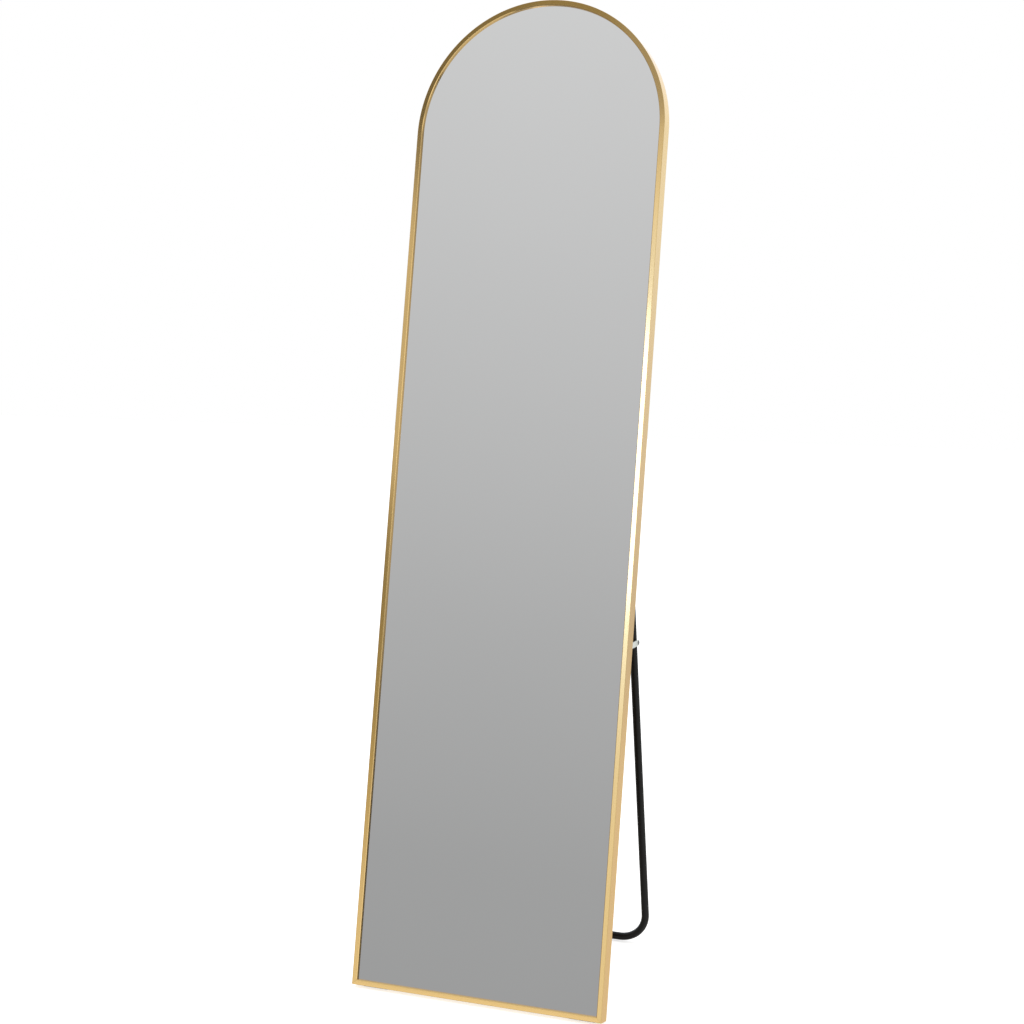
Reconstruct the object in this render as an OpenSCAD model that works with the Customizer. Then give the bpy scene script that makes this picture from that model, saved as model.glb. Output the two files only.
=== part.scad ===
// Arched dressing mirror with a fold-out tube stand, in millimetres.
// X runs across the mirror, Y runs from its front to its back, Z is up.
// The floor is Z = 0 and the origin is the middle of the space that the open mirror stands over.

/* [Mirror] */
// Width over the frame
mirror_w = 400; // [320:10:500]
// Height over the frame, measured along the frame
mirror_h = 1500; // [1300:10:1700]
// Lean of the mirror from upright, in degrees
tilt = 11; // [8:0.5:14]

/* [Frame profile] */
// Width of the front lip
lip_w = 8; // [6:0.5:12]
// Thickness of the front lip at its inner edge
lip_t = 4; // [2.4:0.1:4.8]
// Fall of the lip's face from its inner edge to its outer edge
crown = 0.5; // [0:0.1:0.8]
// Thickness of the outer wall
wall_t = 1.4; // [1:0.1:2]
// Width of the hollow box along the back
box_w = 14; // [12:0.5:18]
// Depth of the hollow box along the back
box_d = 8; // [7:0.5:10]
// Thickness of the box walls
box_t = 1.2; // [0.8:0.1:1.6]
// Radius of the outer edges
edge_r = 0.6; // [0.3:0.1:1]
// Bevel on the inner edge of the lip
bevel = 1; // [0.3:0.1:1.2]
// Width of the joint line in each mitre
mitre_gap = 0.1; // [0.05:0.05:0.3]

/* [Glass and backing] */
// Thickness of the mirror glass
glass_t = 3; // [2:0.5:5]
// Thickness of the safety film on the back of the glass
film_t = 0.2; // [0.1:0.1:0.5]
// Thickness of the foam sheet
foam_t = 2; // [1:0.5:4]
// Thickness of the back board
board_t = 3; // [2:0.5:6]
// Play between the sheets and the outer wall
sheet_gap = 0.6; // [0.3:0.1:1]
// Room behind the board for the leaf springs
spring_room = 2.6; // [2.2:0.1:5]

/* [Leaf springs] */
// Thickness of the spring steel
spring_t = 0.5; // [0.3:0.1:0.8]
// Width of a leaf spring
spring_w = 12; // [10:1:16]
// Length of a leaf spring
spring_len = 60; // [40:5:80]
// Number of leaf springs on each side
spring_count = 4; // [2:1:6]
// Height of the lowest pair, and distance of the highest pair below the arch
spring_end = 150; // [100:10:250]

/* [Corner keys] */
// Length of each arm of a corner key
key_len = 42; // [32:1:60]
// Radius of a grub screw
grub_r = 2; // [1.5:0.25:2.5]
// Length of a grub screw
grub_len = 4.5; // [3:0.25:5]

/* [Stand] */
// Outside diameter of the tube
tube_d = 12; // [10:0.5:14]
// Wall thickness of the tube
tube_t = 1.2; // [0.8:0.1:1.6]
// Distance between the centre lines of the two legs
leg_span = 300; // [240:10:310]
// Bend radius at the centre line of the tube
bend_r = 45; // [30:1:60]
// Height of the hinge up the back of the frame
hinge_v = 925; // [800:5:1000]
// Distance of the hinge line behind the back of the frame
hinge_off = 12; // [11:0.5:16]
// Distance from the hinge line back to the crossbar on the floor
stand_reach = 138; // [110:1:180]
// Length of tube beyond the hinge line
tube_over = 8; // [7:0.5:9]
// Thickness of the head of a tube end plug
plug_head_t = 1.2; // [0.8:0.1:1.5]
// Length of the stem of a tube end plug
plug_stem = 4.5; // [3:0.25:5]

/* [Hinge brackets] */
// Sheet thickness of the brackets
plate_t = 2; // [1.5:0.25:2.5]
// Height of a hinge bracket
hinge_plate_h = 64; // [56:2:90]
// Height of the turned edges of a hinge bracket
flange_h = 5; // [3:0.5:8]
// Play between the tube and each ear
ear_gap = 0.5; // [0.3:0.1:1]
// Radius of a hinge ear
hinge_ear_r = 8; // [7:0.5:9]
// Radius of the hinge pin
pin_r = 2.5; // [2:0.25:3]
// Radius of a hinge pin head
pin_head_r = 4.5; // [4:0.25:5.5]
// Corner radius of the brackets
plate_r = 4; // [2:0.5:5]

/* [Folding stays] */
// Distance of the stay rivets below the hinge line
stay_drop = 405; // [330:5:480]
// Width of a stay link
link_w = 9.5; // [9:0.5:12]
// Thickness of a stay link
link_t = 1.5; // [1:0.25:2]
// Radius of a stay rivet
rivet_r = 2; // [1.5:0.25:2.25]
// Radius of a rivet head
rivet_head_r = 3; // [2.75:0.25:4]
// Thickness of a rivet head
rivet_head_t = 0.9; // [0.8:0.1:1.5]
// Height of a stay bracket
stay_plate_h = 32; // [28:1:44]
// Play between stacked links and rivet heads
link_play = 0.15; // [0.1:0.05:0.25]

/* [Screws] */
// Radius of a bracket screw
screw_r = 1.75; // [1.5:0.05:2]
// Length of a bracket screw under its head
screw_len = 7.5; // [6:0.25:8]
// Radius of a screw head
screw_head_r = 3.5; // [3:0.1:4]
// Height of a screw head
screw_head_t = 2.2; // [1.6:0.1:2.6]

/* [Feet] */
// Thickness of a pad under the bottom rail at its thin edge
pad_t = 1.5; // [1:0.25:3]
// Depth of a rail pad, front to back
pad_d = 8; // [6:0.5:12]
// Length of a rail pad
pad_len = 40; // [20:1:60]
// Distance of a rail pad from the side of the frame
pad_inset = 14; // [5:1:40]
// Distance of a rail pad from the back of the frame
pad_back = 1; // [0.5:0.25:3]
// Thickness of rubber under the crossbar
sole_t = 2; // [1:0.25:4]
// Thickness of rubber round the crossbar
sleeve_t = 1.5; // [1:0.25:2]
// Length of a stand foot
sleeve_len = 36; // [20:1:50]
// Distance of a stand foot from the middle of the crossbar
sleeve_x = 58; // [40:1:70]

/* [Hidden] */
$fn = 64;
// Facets of the large arcs in the arch, its sheets and the leaf springs
fine = 360;
// Clearances: a turning pin, a fixed pin, and two pieces that pass each other
run_fit = 0.08;
hold_fit = 0.05;
clear = 0.3;
// How far a cutter reaches past what it cuts
past = 1;

// Depths from the front of the frame to the front of each layer
glass_w = lip_t;
film_w = glass_w + glass_t;
foam_w = film_w + film_t;
board_w = foam_w + foam_t;
board_back = board_w + board_t;
box_front = board_back + spring_room;
frame_d = box_front + box_d;

// The frame's outline
half_w = mirror_w / 2;
arch_v = mirror_h - half_w;
box_mid = box_w / 2;

// Place of the mirror: its lower front edge, above the floor and in front of the origin
pad_w = frame_d - pad_back;
front_z = pad_w * sin(tilt) + pad_t * cos(tilt);
tube_r = tube_d / 2;
hinge_w = frame_d + hinge_off;
bar_z = tube_r + sole_t;
front_to_bar = hinge_w * cos(tilt) + hinge_v * sin(tilt) + stand_reach;
front_edge = min(
    crown * cos(tilt) + edge_r * (cos(tilt) + sin(tilt) - 1),
    (lip_w - bevel) * sin(tilt)
);
front_y = -(front_to_bar + tube_r + sleeve_t + front_edge) / 2;

// Place and angle of the stand
hinge_y = front_y + hinge_w * cos(tilt) + hinge_v * sin(tilt);
hinge_z = front_z - hinge_w * sin(tilt) + hinge_v * cos(tilt);
bar_y = hinge_y + stand_reach;
leg_x = leg_span / 2;
leg_len = norm([stand_reach, hinge_z - bar_z]);
leg_lean = atan2(stand_reach, hinge_z - bar_z);
fold_angle = tilt + leg_lean;

// The folding stays: both links are equal, and straight when the stand is open
stay_v = hinge_v - stay_drop;
link_len = stay_drop * sin(fold_angle / 2);
link_turn = 90 - fold_angle / 2;
leg_link_x = leg_x + tube_r + clear + rivet_head_t;
leg_head_x = leg_link_x + link_t + link_play;
frame_head_x = leg_head_x + rivet_head_t + clear;
frame_link_x = frame_head_x + rivet_head_t + link_play;
stay_ear_x = frame_link_x + link_t + link_play;
elbow_x = (leg_link_x + link_t + frame_link_x) / 2;
stay_ear_r = link_w / 2 + 1;

// The brackets
ear_in_x = leg_x - tube_r - ear_gap - plate_t;
ear_out_x = leg_x + tube_r + ear_gap;
plate_edge = half_w - 1;
screw_x = half_w - box_mid;
hinge_screw_v = [for (i = [-1:1]) hinge_v + i * (hinge_plate_h / 2 - 2 * screw_head_r - plate_t)];
stay_screw_v = [for (i = [-1, 1]) stay_v + i * (stay_plate_h / 2 - 2 * screw_head_r)];

// Places of the corner key screws along each arm
grub_at = box_w + (key_len - box_w) / 2;

// Leans its children back with the mirror: Y is depth from the front, Z is height up the frame
module on_frame() {
    translate([0, front_y, front_z]) rotate([-tilt, 0, 0]) children();
}

// Leans its children with a leg: Z = 0 is the hinge line and the leg runs down
module on_stand() {
    translate([0, hinge_y, hinge_z]) rotate([leg_lean, 0, 0]) children();
}

// Copies its right-hand children to the given side
module on_side(side) {
    if (side == "left") mirror([1, 0, 0]) children();
    else children();
}

// Extrudes an outline along X, with the outline's first axis on Y and its second on Z
module along_x(from, thick) {
    translate([from, 0, 0]) rotate([90, 0, 90]) linear_extrude(thick) children();
}

// Extrudes an outline from depth w backwards, with the outline's axes on X and Z
module sheet_at(w, thick) {
    translate([0, w + thick, 0]) rotate([90, 0, 0]) linear_extrude(thick) children();
}

// A round bar along X
module bar_x(from, to, r) {
    translate([from, 0, 0]) rotate([0, 90, 0]) cylinder(h = to - from, r = r);
}

// A round bar along Y, from the front backwards
module bar_y(from, to, r) {
    translate([0, to, 0]) rotate([90, 0, 0]) cylinder(h = to - from, r = r);
}

// A rectangle with round corners
module round_rect(low, high, r) {
    translate([low[0] + r, low[1]]) square([high[0] - low[0] - 2 * r, high[1] - low[1]]);
    translate([low[0], low[1] + r]) square([high[0] - low[0], high[1] - low[1] - 2 * r]);
    for (x = [low[0] + r, high[0] - r])
        for (y = [low[1] + r, high[1] - r])
            translate([x, y]) circle(r);
}

// Cross-section of the frame profile: X is distance in from the outer edge, Y is depth
module profile_section() {
    steps = 4;
    front_arc = [for (i = [0:steps])
        [edge_r * (1 - cos(90 * i / steps)), crown + edge_r * (1 - sin(90 * i / steps))]];
    back_arc = [for (i = [0:steps])
        [edge_r * (1 - sin(90 * i / steps)), frame_d - edge_r * (1 - cos(90 * i / steps))]];
    difference() {
        polygon(concat(front_arc, [
            [lip_w - bevel, 0],
            [lip_w, bevel],
            [lip_w, lip_t],
            [wall_t, lip_t],
            [wall_t, box_front],
            [box_w, box_front],
            [box_w, frame_d]
        ], back_arc));
        translate([wall_t, box_front + box_t]) square([box_w - wall_t - box_t, box_d - 2 * box_t]);
    }
}

// The space below both mitres, moved outwards by a shift along X
module mitre_zone(shift) {
    top = box_w + past;
    sheet_at(-past, frame_d + 2 * past)
        polygon([
            [-half_w - past - shift, -past],
            [half_w + past + shift, -past],
            [half_w - top + shift, top],
            [-half_w + top - shift, top]
        ]);
}

// Screw holes and grub screw holes through the back wall of the frame box
module back_wall_holes(side_pieces) {
    from = frame_d - box_t - past;
    to = frame_d + past;
    if (side_pieces) {
        for (x = [-screw_x, screw_x])
            for (v = concat(hinge_screw_v, stay_screw_v))
                translate([x, 0, v]) bar_y(from, to, screw_r + hold_fit);
        for (x = [-screw_x, screw_x])
            translate([x, 0, grub_at]) bar_y(from, to, grub_r + clear);
    } else {
        for (x = [grub_at - half_w, half_w - grub_at])
            translate([x, 0, box_mid]) bar_y(from, to, grub_r + clear);
    }
}

// Two straight sides and the half-round top, one length of profile
module arch_profile() {
    color("goldenrod") on_frame() difference() {
        union() {
            for (side = ["left", "right"])
                on_side(side) linear_extrude(arch_v)
                    translate([half_w, 0]) mirror([1, 0]) profile_section();
            translate([0, 0, arch_v]) rotate([90, 0, 0]) rotate_extrude(angle = 180, $fn = fine)
                translate([half_w, 0]) rotate(180) profile_section();
        }
        mitre_zone(mitre_gap / sqrt(2));
        back_wall_holes(true);
    }
}

// Bottom length of profile, mitred at both ends
module bottom_rail() {
    color("goldenrod") on_frame() difference() {
        intersection() {
            rotate([0, -90, 0]) linear_extrude(mirror_w, center = true) profile_section();
            mitre_zone(-mitre_gap / sqrt(2));
        }
        back_wall_holes(false);
    }
}

// Cast angle inside the box that joins a side to the bottom rail
module corner_key(side) {
    outer = wall_t + hold_fit;
    inner = box_w - box_t - hold_fit;
    color("silver") on_frame() on_side(side) difference() {
        sheet_at(box_front + box_t + hold_fit, box_d - 2 * (box_t + hold_fit))
            polygon([
                [half_w - outer, outer],
                [half_w - outer, key_len],
                [half_w - inner, key_len],
                [half_w - inner, inner],
                [half_w - key_len, inner],
                [half_w - key_len, outer]
            ]);
        for (p = [[half_w - grub_at, box_mid], [screw_x, grub_at]])
            translate([p[0], 0, p[1]]) bar_y(box_front, frame_d, grub_r + hold_fit);
    }
}

// A grub screw with a hexagon socket, which presses on the front wall of the box
module grub_screw() {
    front = box_front + box_t + hold_fit;
    difference() {
        bar_y(front, front + grub_len, grub_r);
        translate([0, front + grub_len + past, 0]) rotate([90, 0, 0])
            cylinder(h = grub_len / 2 + past, r = grub_r * 0.6, $fn = 6);
    }
}

module corner_grub_screws() {
    color("dimgray") on_frame()
        for (side = ["left", "right"])
            on_side(side)
                for (p = [[half_w - grub_at, box_mid], [screw_x, grub_at]])
                    translate([p[0], 0, p[1]]) grub_screw();
}

// Outline of a sheet that lies in the frame, in from the frame's outer edge
module arch_outline(inset) {
    r = half_w - inset;
    translate([-r, inset]) square([2 * r, arch_v - inset]);
    translate([0, arch_v]) circle(r, $fn = fine);
}

module frame_sheet(w, thick) {
    on_frame() sheet_at(w, thick) arch_outline(wall_t + sheet_gap);
}

module mirror_glass() { color("gainsboro") frame_sheet(glass_w, glass_t); }
module safety_film() { color("lightsteelblue") frame_sheet(film_w, film_t); }
module foam_sheet() { color("white") frame_sheet(foam_w, foam_t); }
module back_board() { color("peru") frame_sheet(board_w, board_t); }

// A bowed strip along X: its ends press on the board and its middle on the frame box
module leaf_spring() {
    rise = spring_room - spring_t - 2 * hold_fit;
    r = (spring_len * spring_len / 4 + rise * rise) / (2 * rise);
    translate([0, board_back + hold_fit + rise - r, 0]) linear_extrude(spring_w) intersection() {
        difference() {
            circle(r + spring_t, $fn = 4 * fine);
            circle(r, $fn = 4 * fine);
        }
        translate([-spring_len / 2, r - rise]) square([spring_len, rise + spring_t + past]);
    }
}

module board_springs() {
    edge = wall_t + sheet_gap;
    sagitta = half_w - sqrt(half_w * half_w - spring_len * spring_len / 4);
    pitch = (arch_v - 2 * spring_end) / (spring_count - 1);
    color("slategray") on_frame() {
        for (side = ["left", "right"])
            on_side(side)
                for (i = [0:spring_count - 1])
                    translate([half_w - edge, 0, spring_end + i * pitch])
                        rotate([0, -90, 0]) leaf_spring();
        translate([0, 0, edge]) leaf_spring();
        translate([0, 0, mirror_h - edge - sagitta - spring_w]) leaf_spring();
    }
}

// An ear that stands up from a bracket plate round a pin, with the pin's hole
module ear(x, v, r, hole) {
    along_x(x, plate_t) difference() {
        union() {
            translate([frame_d + plate_t, v - r]) square([hinge_off - plate_t, 2 * r]);
            translate([hinge_w, v]) circle(r);
        }
        translate([hinge_w, v]) circle(hole);
    }
}

// Pressed steel bracket that carries the top of a leg between two ears
module hinge_bracket(side) {
    low = hinge_v - hinge_plate_h / 2;
    high = hinge_v + hinge_plate_h / 2;
    flange_x = ear_out_x + plate_t;
    color("#262626") on_frame() on_side(side) {
        difference() {
            sheet_at(frame_d, plate_t) round_rect([ear_in_x, low], [plate_edge, high], plate_r);
            for (v = hinge_screw_v)
                translate([screw_x, 0, v]) bar_y(frame_d - past, frame_d + plate_t + past, screw_r + clear);
        }
        for (v = [low, high - plate_t])
            translate([flange_x, frame_d + plate_t, v])
                cube([plate_edge - plate_r - flange_x, flange_h, plate_t]);
        ear(ear_in_x, hinge_v, hinge_ear_r, pin_r + hold_fit);
        ear(ear_out_x, hinge_v, hinge_ear_r, pin_r + hold_fit);
    }
}

// A pan head screw with a cross recess: its tip points forwards and its head seats at y = 0
module pan_screw() {
    point = 2 * screw_r;
    rim = screw_head_t / 3;
    slot_w = screw_r / 2;
    slot_half = screw_head_r * 0.6;
    steps = 6;
    dome = [for (i = [0:steps])
        [screw_head_r * cos(90 * i / steps), rim + (screw_head_t - rim) * sin(90 * i / steps)]];
    difference() {
        rotate([-90, 0, 0]) rotate_extrude() polygon(concat([
            [0, -screw_len],
            [screw_r / 5, -screw_len],
            [screw_r, point - screw_len],
            [screw_r, 0],
            [screw_head_r, 0]
        ], dome));
        sheet_at(screw_head_t / 2, screw_head_t) {
            translate([-slot_half, -slot_w / 2]) square([2 * slot_half, slot_w]);
            translate([-slot_w / 2, -slot_half]) square([slot_w, 2 * slot_half]);
        }
    }
}

module screws_at(heights) {
    color("#3c3c3c") on_frame()
        for (x = [-screw_x, screw_x])
            for (v = heights)
                translate([x, frame_d + plate_t, v]) pan_screw();
}

module hinge_bracket_screws() { screws_at(hinge_screw_v); }
module stay_bracket_screws() { screws_at(stay_screw_v); }

// Wall of the stand tube, as a ring
module tube_ring() {
    difference() {
        circle(tube_r);
        circle(tube_r - tube_t);
    }
}

// U-shaped stand: one tube with two bends and a straight crossbar
module stand_tube() {
    bend_z = -(leg_len - bend_r);
    bar_half = leg_x - bend_r;
    color("#1c1b1a") on_stand() difference() {
        union() {
            for (side = ["left", "right"])
                on_side(side) {
                    translate([leg_x, 0, bend_z]) linear_extrude(tube_over - bend_z) tube_ring();
                    translate([bar_half, 0, bend_z]) rotate([-90, 0, 0])
                        rotate_extrude(angle = 90) translate([bend_r, 0]) tube_ring();
                }
            translate([-bar_half, 0, -leg_len]) rotate([0, 90, 0])
                linear_extrude(2 * bar_half) tube_ring();
        }
        for (side = ["left", "right"])
            on_side(side) {
                bar_x(leg_x - tube_d, leg_x + tube_d, pin_r + run_fit);
                translate([0, 0, -stay_drop]) bar_x(leg_x - tube_d, leg_x + tube_d, rivet_r + hold_fit);
            }
    }
}

// Plastic plug in the open top of a leg
module tube_plug(side) {
    color("#141414") on_stand() on_side(side) translate([leg_x, 0, tube_over]) {
        cylinder(h = plug_head_t, r = tube_r - hold_fit);
        translate([0, 0, -plug_stem]) cylinder(h = plug_stem, r = tube_r - tube_t - hold_fit);
    }
}

// Hinge pin with a head outside each ear
module hinge_pin(side) {
    head_t = rivet_head_t;
    color("#3c3c3c") on_frame() on_side(side) translate([0, hinge_w, hinge_v]) {
        bar_x(ear_in_x - head_t, ear_out_x + plate_t + head_t, pin_r);
        bar_x(ear_in_x - head_t, ear_in_x, pin_head_r);
        bar_x(ear_out_x + plate_t, ear_out_x + plate_t + head_t, pin_head_r);
    }
}

// Zinc-plated bracket that carries the stay on the frame
module stay_bracket(side) {
    low = stay_v - stay_plate_h / 2;
    high = stay_v + stay_plate_h / 2;
    color("lightgray") on_frame() on_side(side) {
        difference() {
            sheet_at(frame_d, plate_t) round_rect([stay_ear_x, low], [plate_edge, high], plate_r);
            for (v = stay_screw_v)
                translate([screw_x, 0, v]) bar_y(frame_d - past, frame_d + plate_t + past, screw_r + clear);
        }
        ear(stay_ear_x, stay_v, stay_ear_r, rivet_r + hold_fit);
    }
}

// Flat link with round ends and a hole at each end, from its first rivet along +Y
module link(x, first_hole, second_hole) {
    along_x(x, link_t) difference() {
        union() {
            translate([0, -link_w / 2]) square([link_len, link_w]);
            circle(link_w / 2);
            translate([link_len, 0]) circle(link_w / 2);
        }
        circle(first_hole);
        translate([link_len, 0]) circle(second_hole);
    }
}

// Places its children at the stay's frame rivet, with +Y towards the elbow
module at_frame_rivet() {
    on_frame() translate([0, hinge_w, stay_v]) rotate([90 - link_turn, 0, 0]) children();
}

// Places its children at the stay's leg rivet, with -Y towards the elbow
module at_leg_rivet() {
    on_stand() translate([0, 0, -stay_drop]) rotate([link_turn - 90, 0, 0]) children();
}

module frame_link(side) {
    color("gainsboro") on_side(side) at_frame_rivet()
        link(frame_link_x, rivet_r + run_fit, rivet_r + hold_fit);
}

module leg_link(side) {
    color("gainsboro") on_side(side) at_leg_rivet()
        mirror([0, 1, 0]) link(leg_link_x, rivet_r + run_fit, rivet_r + hold_fit);
}

// Rivet through the stay bracket and the frame link
module frame_rivet(side) {
    ear_end = stay_ear_x + plate_t;
    color("#4b4b4b") on_side(side) on_frame() translate([0, hinge_w, stay_v]) {
        bar_x(frame_head_x, ear_end + rivet_head_t, rivet_r);
        bar_x(frame_head_x, frame_head_x + rivet_head_t, rivet_head_r);
        bar_x(ear_end, ear_end + rivet_head_t, rivet_head_r);
    }
}

// Shouldered rivet through the leg and the leg link
module leg_rivet(side) {
    color("#4b4b4b") on_side(side) on_stand() translate([0, 0, -stay_drop]) {
        bar_x(leg_x - tube_r - rivet_head_t, leg_head_x + rivet_head_t, rivet_r);
        bar_x(leg_x - tube_r - rivet_head_t, leg_x - tube_r, rivet_head_r);
        bar_x(leg_x + tube_r, leg_link_x - link_play, rivet_head_r);
        bar_x(leg_head_x, leg_head_x + rivet_head_t, rivet_head_r);
    }
}

// Outer half of the elbow rivet, fixed in the frame link
module elbow_pin(side) {
    head = frame_link_x + link_t;
    color("#4b4b4b") on_side(side) at_frame_rivet() translate([0, link_len, 0]) {
        bar_x(elbow_x + clear / 2, frame_link_x, rivet_head_r);
        bar_x(frame_link_x - hold_fit, head + rivet_head_t, rivet_r);
        bar_x(head, head + rivet_head_t, rivet_head_r);
    }
}

// Inner half of the elbow rivet, fixed in the leg link
module elbow_collar(side) {
    color("#4b4b4b") on_side(side) at_leg_rivet() translate([0, -link_len, 0]) {
        bar_x(leg_link_x - rivet_head_t, leg_link_x, rivet_head_r);
        bar_x(leg_link_x - rivet_head_t, leg_link_x + link_t + hold_fit, rivet_r);
        bar_x(leg_link_x + link_t, elbow_x - clear / 2, rivet_head_r);
    }
}

// Everything below the floor, on the right-hand side
module below_floor() {
    deep = 2 * frame_d;
    translate([0, 2 * front_y, -deep]) cube([half_w, -4 * front_y, deep]);
}

// Rubber wedge between the bottom rail and the floor
module rail_foot(side) {
    color("#2b2b2b") on_side(side) difference() {
        on_frame() translate([half_w - pad_inset - pad_len, pad_w - pad_d, -frame_d])
            cube([pad_len, pad_d, frame_d]);
        below_floor();
    }
}

// Rubber sleeve on the crossbar, with a flat sole
module stand_foot(side) {
    r = tube_r + sleeve_t;
    color("#2b2b2b") on_side(side) translate([0, bar_y, 0]) difference() {
        union() {
            translate([0, 0, bar_z]) bar_x(sleeve_x - sleeve_len / 2, sleeve_x + sleeve_len / 2, r);
            translate([sleeve_x - sleeve_len / 2, -tube_r, 0]) cube([sleeve_len, tube_d, bar_z]);
        }
        translate([0, 0, bar_z]) bar_x(sleeve_x - sleeve_len, sleeve_x + sleeve_len, tube_r + hold_fit);
        translate([0, -bar_y, 0]) below_floor();
    }
}

arch_profile();
bottom_rail();
corner_key("left");  // corner_key_left
corner_key("right");  // corner_key_right
corner_grub_screws();
mirror_glass();
safety_film();
foam_sheet();
back_board();
board_springs();
hinge_bracket("left");  // hinge_bracket_left
hinge_bracket("right");  // hinge_bracket_right
hinge_bracket_screws();
stand_tube();
tube_plug("left");  // tube_plug_left
tube_plug("right");  // tube_plug_right
hinge_pin("left");  // hinge_pin_left
hinge_pin("right");  // hinge_pin_right
stay_bracket("left");  // stay_bracket_left
stay_bracket("right");  // stay_bracket_right
stay_bracket_screws();
frame_link("left");  // frame_link_left
frame_link("right");  // frame_link_right
leg_link("left");  // leg_link_left
leg_link("right");  // leg_link_right
frame_rivet("left");  // frame_rivet_left
frame_rivet("right");  // frame_rivet_right
leg_rivet("left");  // leg_rivet_left
leg_rivet("right");  // leg_rivet_right
elbow_pin("left");  // elbow_pin_left
elbow_pin("right");  // elbow_pin_right
elbow_collar("left");  // elbow_collar_left
elbow_collar("right");  // elbow_collar_right
rail_foot("left");  // rail_foot_left
rail_foot("right");  // rail_foot_right
stand_foot("left");  // stand_foot_left
stand_foot("right");  // stand_foot_right
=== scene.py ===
# Arched dressing mirror on a fold-out tube stand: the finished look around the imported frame.
import math

import bmesh
import bpy
from mathutils import Matrix, Vector


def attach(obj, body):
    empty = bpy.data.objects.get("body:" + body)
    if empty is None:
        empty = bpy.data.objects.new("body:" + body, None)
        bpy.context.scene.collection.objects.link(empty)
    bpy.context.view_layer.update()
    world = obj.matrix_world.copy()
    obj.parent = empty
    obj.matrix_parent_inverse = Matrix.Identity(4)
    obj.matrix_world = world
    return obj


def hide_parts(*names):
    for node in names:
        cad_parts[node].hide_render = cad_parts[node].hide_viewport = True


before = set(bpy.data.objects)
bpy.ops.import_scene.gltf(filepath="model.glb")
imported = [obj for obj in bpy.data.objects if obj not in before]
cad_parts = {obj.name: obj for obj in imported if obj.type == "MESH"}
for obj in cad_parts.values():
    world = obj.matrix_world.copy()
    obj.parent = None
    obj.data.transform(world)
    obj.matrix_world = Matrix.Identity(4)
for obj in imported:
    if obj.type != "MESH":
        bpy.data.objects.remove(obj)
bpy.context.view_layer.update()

# Bent side and top profile
# One length of aluminium profile, brushed along its length and anodised gold. It is bent over the
# top, a lip in front holds the glass, and a hollow box along the back takes the corner keys.
# Its two lower ends are sawn at 45 degrees.

MM = 0.001
LEAN = math.radians(11)
LOWER_FRONT_EDGE = Vector((0, -178.3766, 5.63208)) * MM
# What belongs to the frame is laid out upright, with the frame's lower front edge at the origin,
# and then leaned back
leaning = Matrix.Translation(LOWER_FRONT_EDGE) @ Matrix.Rotation(-LEAN, 4, "X")
# Swept shapes are laid out flat, with their depth below the sheet, and stood up by this turn
standing_up = Matrix.Rotation(math.radians(90), 4, "X")
# Nearly all of a noise lies between these two values
NOISE_LOW, NOISE_HIGH = 0.3, 0.7
# Points nearer than this are one point
WELD = 0.001 * MM


def add(tree, kind, into=None, **settings):
    """A node with its settings, and a number, a node or a socket for each input named in into."""
    node = tree.nodes.new(kind)
    for name, value in settings.items():
        setattr(node, name, value)
    for name, value in (into or {}).items():
        if isinstance(value, bpy.types.Node):
            tree.links.new(value.outputs[0], node.inputs[name])
        elif isinstance(value, bpy.types.NodeSocket):
            tree.links.new(value, node.inputs[name])
        else:
            node.inputs[name].default_value = value
    return node


def calc(tree, operation, a, b=0.0):
    """The result of a sum on two numbers, nodes or sockets."""
    return add(tree, "ShaderNodeMath", {0: a, 1: b}, operation=operation).outputs[0]


def blended(tree, share, a, b):
    """The colour a where share is 0 and b where it is 1."""
    # This node takes its colours at inputs 6 and 7, and gives their mix at output 2
    return add(tree, "ShaderNodeMix", {0: share, 6: a, 7: b}, data_type="RGBA").outputs[2]


def finish(name, colours, rough, grain, metallic=0.0, relief=0.0, detail=4.0, coords="Object"):
    """A material whose colour, roughness and relief follow one grain, in waves per metre."""
    material = bpy.data.materials.new(name)
    material.use_nodes = True
    tree = material.node_tree
    shader = tree.nodes["Principled BSDF"]
    place = add(tree, "ShaderNodeTexCoord").outputs[coords]
    stretched = add(tree, "ShaderNodeMapping", {"Vector": place, "Scale": grain})
    noise = add(tree, "ShaderNodeTexNoise", {"Vector": stretched, "Scale": 1.0, "Detail": detail})
    spread = add(tree, "ShaderNodeMapRange", {
        "Value": noise, "From Min": NOISE_LOW, "From Max": NOISE_HIGH,
    })
    colour = blended(tree, spread, (*colours[0], 1), (*colours[1], 1))
    shine = add(tree, "ShaderNodeMapRange", {
        "Value": spread, "To Min": rough[0], "To Max": rough[1],
    })
    tree.links.new(colour, shader.inputs["Base Color"])
    tree.links.new(shine.outputs[0], shader.inputs["Roughness"])
    shader.inputs["Metallic"].default_value = metallic
    if relief:
        bump = add(tree, "ShaderNodeBump", {"Height": noise, "Distance": relief})
        tree.links.new(bump.outputs[0], shader.inputs["Normal"])
    return material


def placed(name, data):
    """A new object in the scene, at the origin."""
    obj = bpy.data.objects.new(name, data)
    bpy.context.scene.collection.objects.link(obj)
    return obj


def plain_mesh(worker):
    """The mesh of an object with its modifiers in it; the object itself goes."""
    finished = worker.evaluated_get(bpy.context.evaluated_depsgraph_get())
    mesh = bpy.data.meshes.new_from_object(finished)
    bpy.data.objects.remove(worker)
    return mesh


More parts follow.
